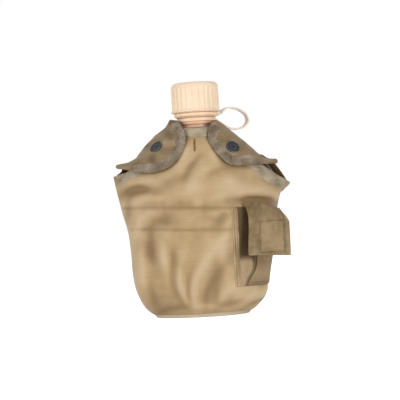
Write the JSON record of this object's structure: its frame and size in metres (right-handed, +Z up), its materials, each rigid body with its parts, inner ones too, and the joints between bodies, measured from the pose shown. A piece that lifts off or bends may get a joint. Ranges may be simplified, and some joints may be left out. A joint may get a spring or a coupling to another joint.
{
  "type": "canteen",
  "caption": "Kidney-shaped plastic field canteen with a ribbed screw cap on a retaining strap, in a sewn cloth cover with snapped shoulder flaps, a side pocket and belt keepers.",
  "frame": {"origin": "on the flat base, under the neck's axis", "axes": "+Z up along the neck, -Y out of the front panel, +X to the pocket's side"},
  "size_m": [0.164, 0.0924, 0.2155],
  "materials": {
    "bottle_plastic": "moulded polyethylene, satin",
    "cap_plastic": "moulded, ribbed, satin",
    "strap_plastic": "flexible moulded strap, pale, satin",
    "liner_rubber": "soft sealing disc",
    "cover_cloth": "khaki nylon duck, water-repellent",
    "pile_lining": "acrylic pile",
    "edge_tape": "woven binding tape",
    "webbing": "woven nylon webbing",
    "hook_loop": "hook and loop tape",
    "snap_metal": "dark enamelled brass",
    "keeper_steel": "black painted spring steel"
  },
  "bodies": {
    "canteen": {"canteen_bottle": "bottle_plastic", "strap_neck_ring": "strap_plastic", "retaining_strap": "strap_plastic", "cover_front": "cover_cloth", "cover_back": "cover_cloth", "front_lining": "pile_lining", "back_lining": "pile_lining", "collar_binding": "edge_tape", "left_snap_stud": "snap_metal", "right_snap_stud": "snap_metal", "pocket_body": "cover_cloth", "pocket_flap_seam": "cover_cloth", "pocket_loop_tape": "hook_loop", "back_webbing": "webbing", "left_keeper": "keeper_steel", "right_keeper": "keeper_steel"},
    "cap_ring": {"strap_cap_ring": "strap_plastic"},
    "cap": {"screw_cap": "cap_plastic", "cap_liner": "liner_rubber"},
    "left_flap": {"left_flap": "cover_cloth", "left_flap_binding": "edge_tape", "left_snap_cap": "snap_metal", "left_snap_socket": "snap_metal"},
    "right_flap": {"right_flap": "cover_cloth", "right_flap_binding": "edge_tape", "right_snap_cap": "snap_metal", "right_snap_socket": "snap_metal"},
    "pocket_flap": {"pocket_flap": "cover_cloth", "pocket_hook_tape": "hook_loop"},
    "left_slider": {"left_slider": "keeper_steel"},
    "right_slider": {"right_slider": "keeper_steel"}
  },
  "joints": [
    {"name": "cap_lift", "type": "slide", "parent": "canteen", "child": "cap_ring", "axis": [0, 0, 1], "range_m": [0, 0.0075], "deforming": ["retaining_strap"]},
    {"name": "cap_turn", "type": "hinge", "parent": "cap_ring", "child": "cap", "pos_m": [0, 0, 0.2], "axis": [0, 0, 1], "range_deg": [0, 540]},
    {"name": "left_flap_hinge", "type": "hinge", "parent": "canteen", "child": "left_flap", "pos_m": [-0.0223, 0, 0.178], "axis": [-0.8342, 0, -0.5515], "range_deg": [0, 150]},
    {"name": "right_flap_hinge", "type": "hinge", "parent": "canteen", "child": "right_flap", "pos_m": [0.0223, 0, 0.178], "axis": [-0.8011, 0, 0.5985], "range_deg": [0, 100]},
    {"name": "pocket_flap_hinge", "type": "hinge", "parent": "canteen", "child": "pocket_flap", "pos_m": [0.0586, -0.03096, 0.10085], "axis": [-0.848, -0.5299, 0], "range_deg": [0, 110]},
    {"name": "left_slider_slide", "type": "slide", "parent": "canteen", "child": "left_slider", "axis": [0, 0, 1], "range_m": [0, 0.01]},
    {"name": "right_slider_slide", "type": "slide", "parent": "canteen", "child": "right_slider", "axis": [0, 0, 1], "range_m": [0, 0.01]}
  ],
  "couplings": [
    {"joint": "cap_lift", "follows": "cap_turn", "m_per_rad": 0.00079577}
  ]
}
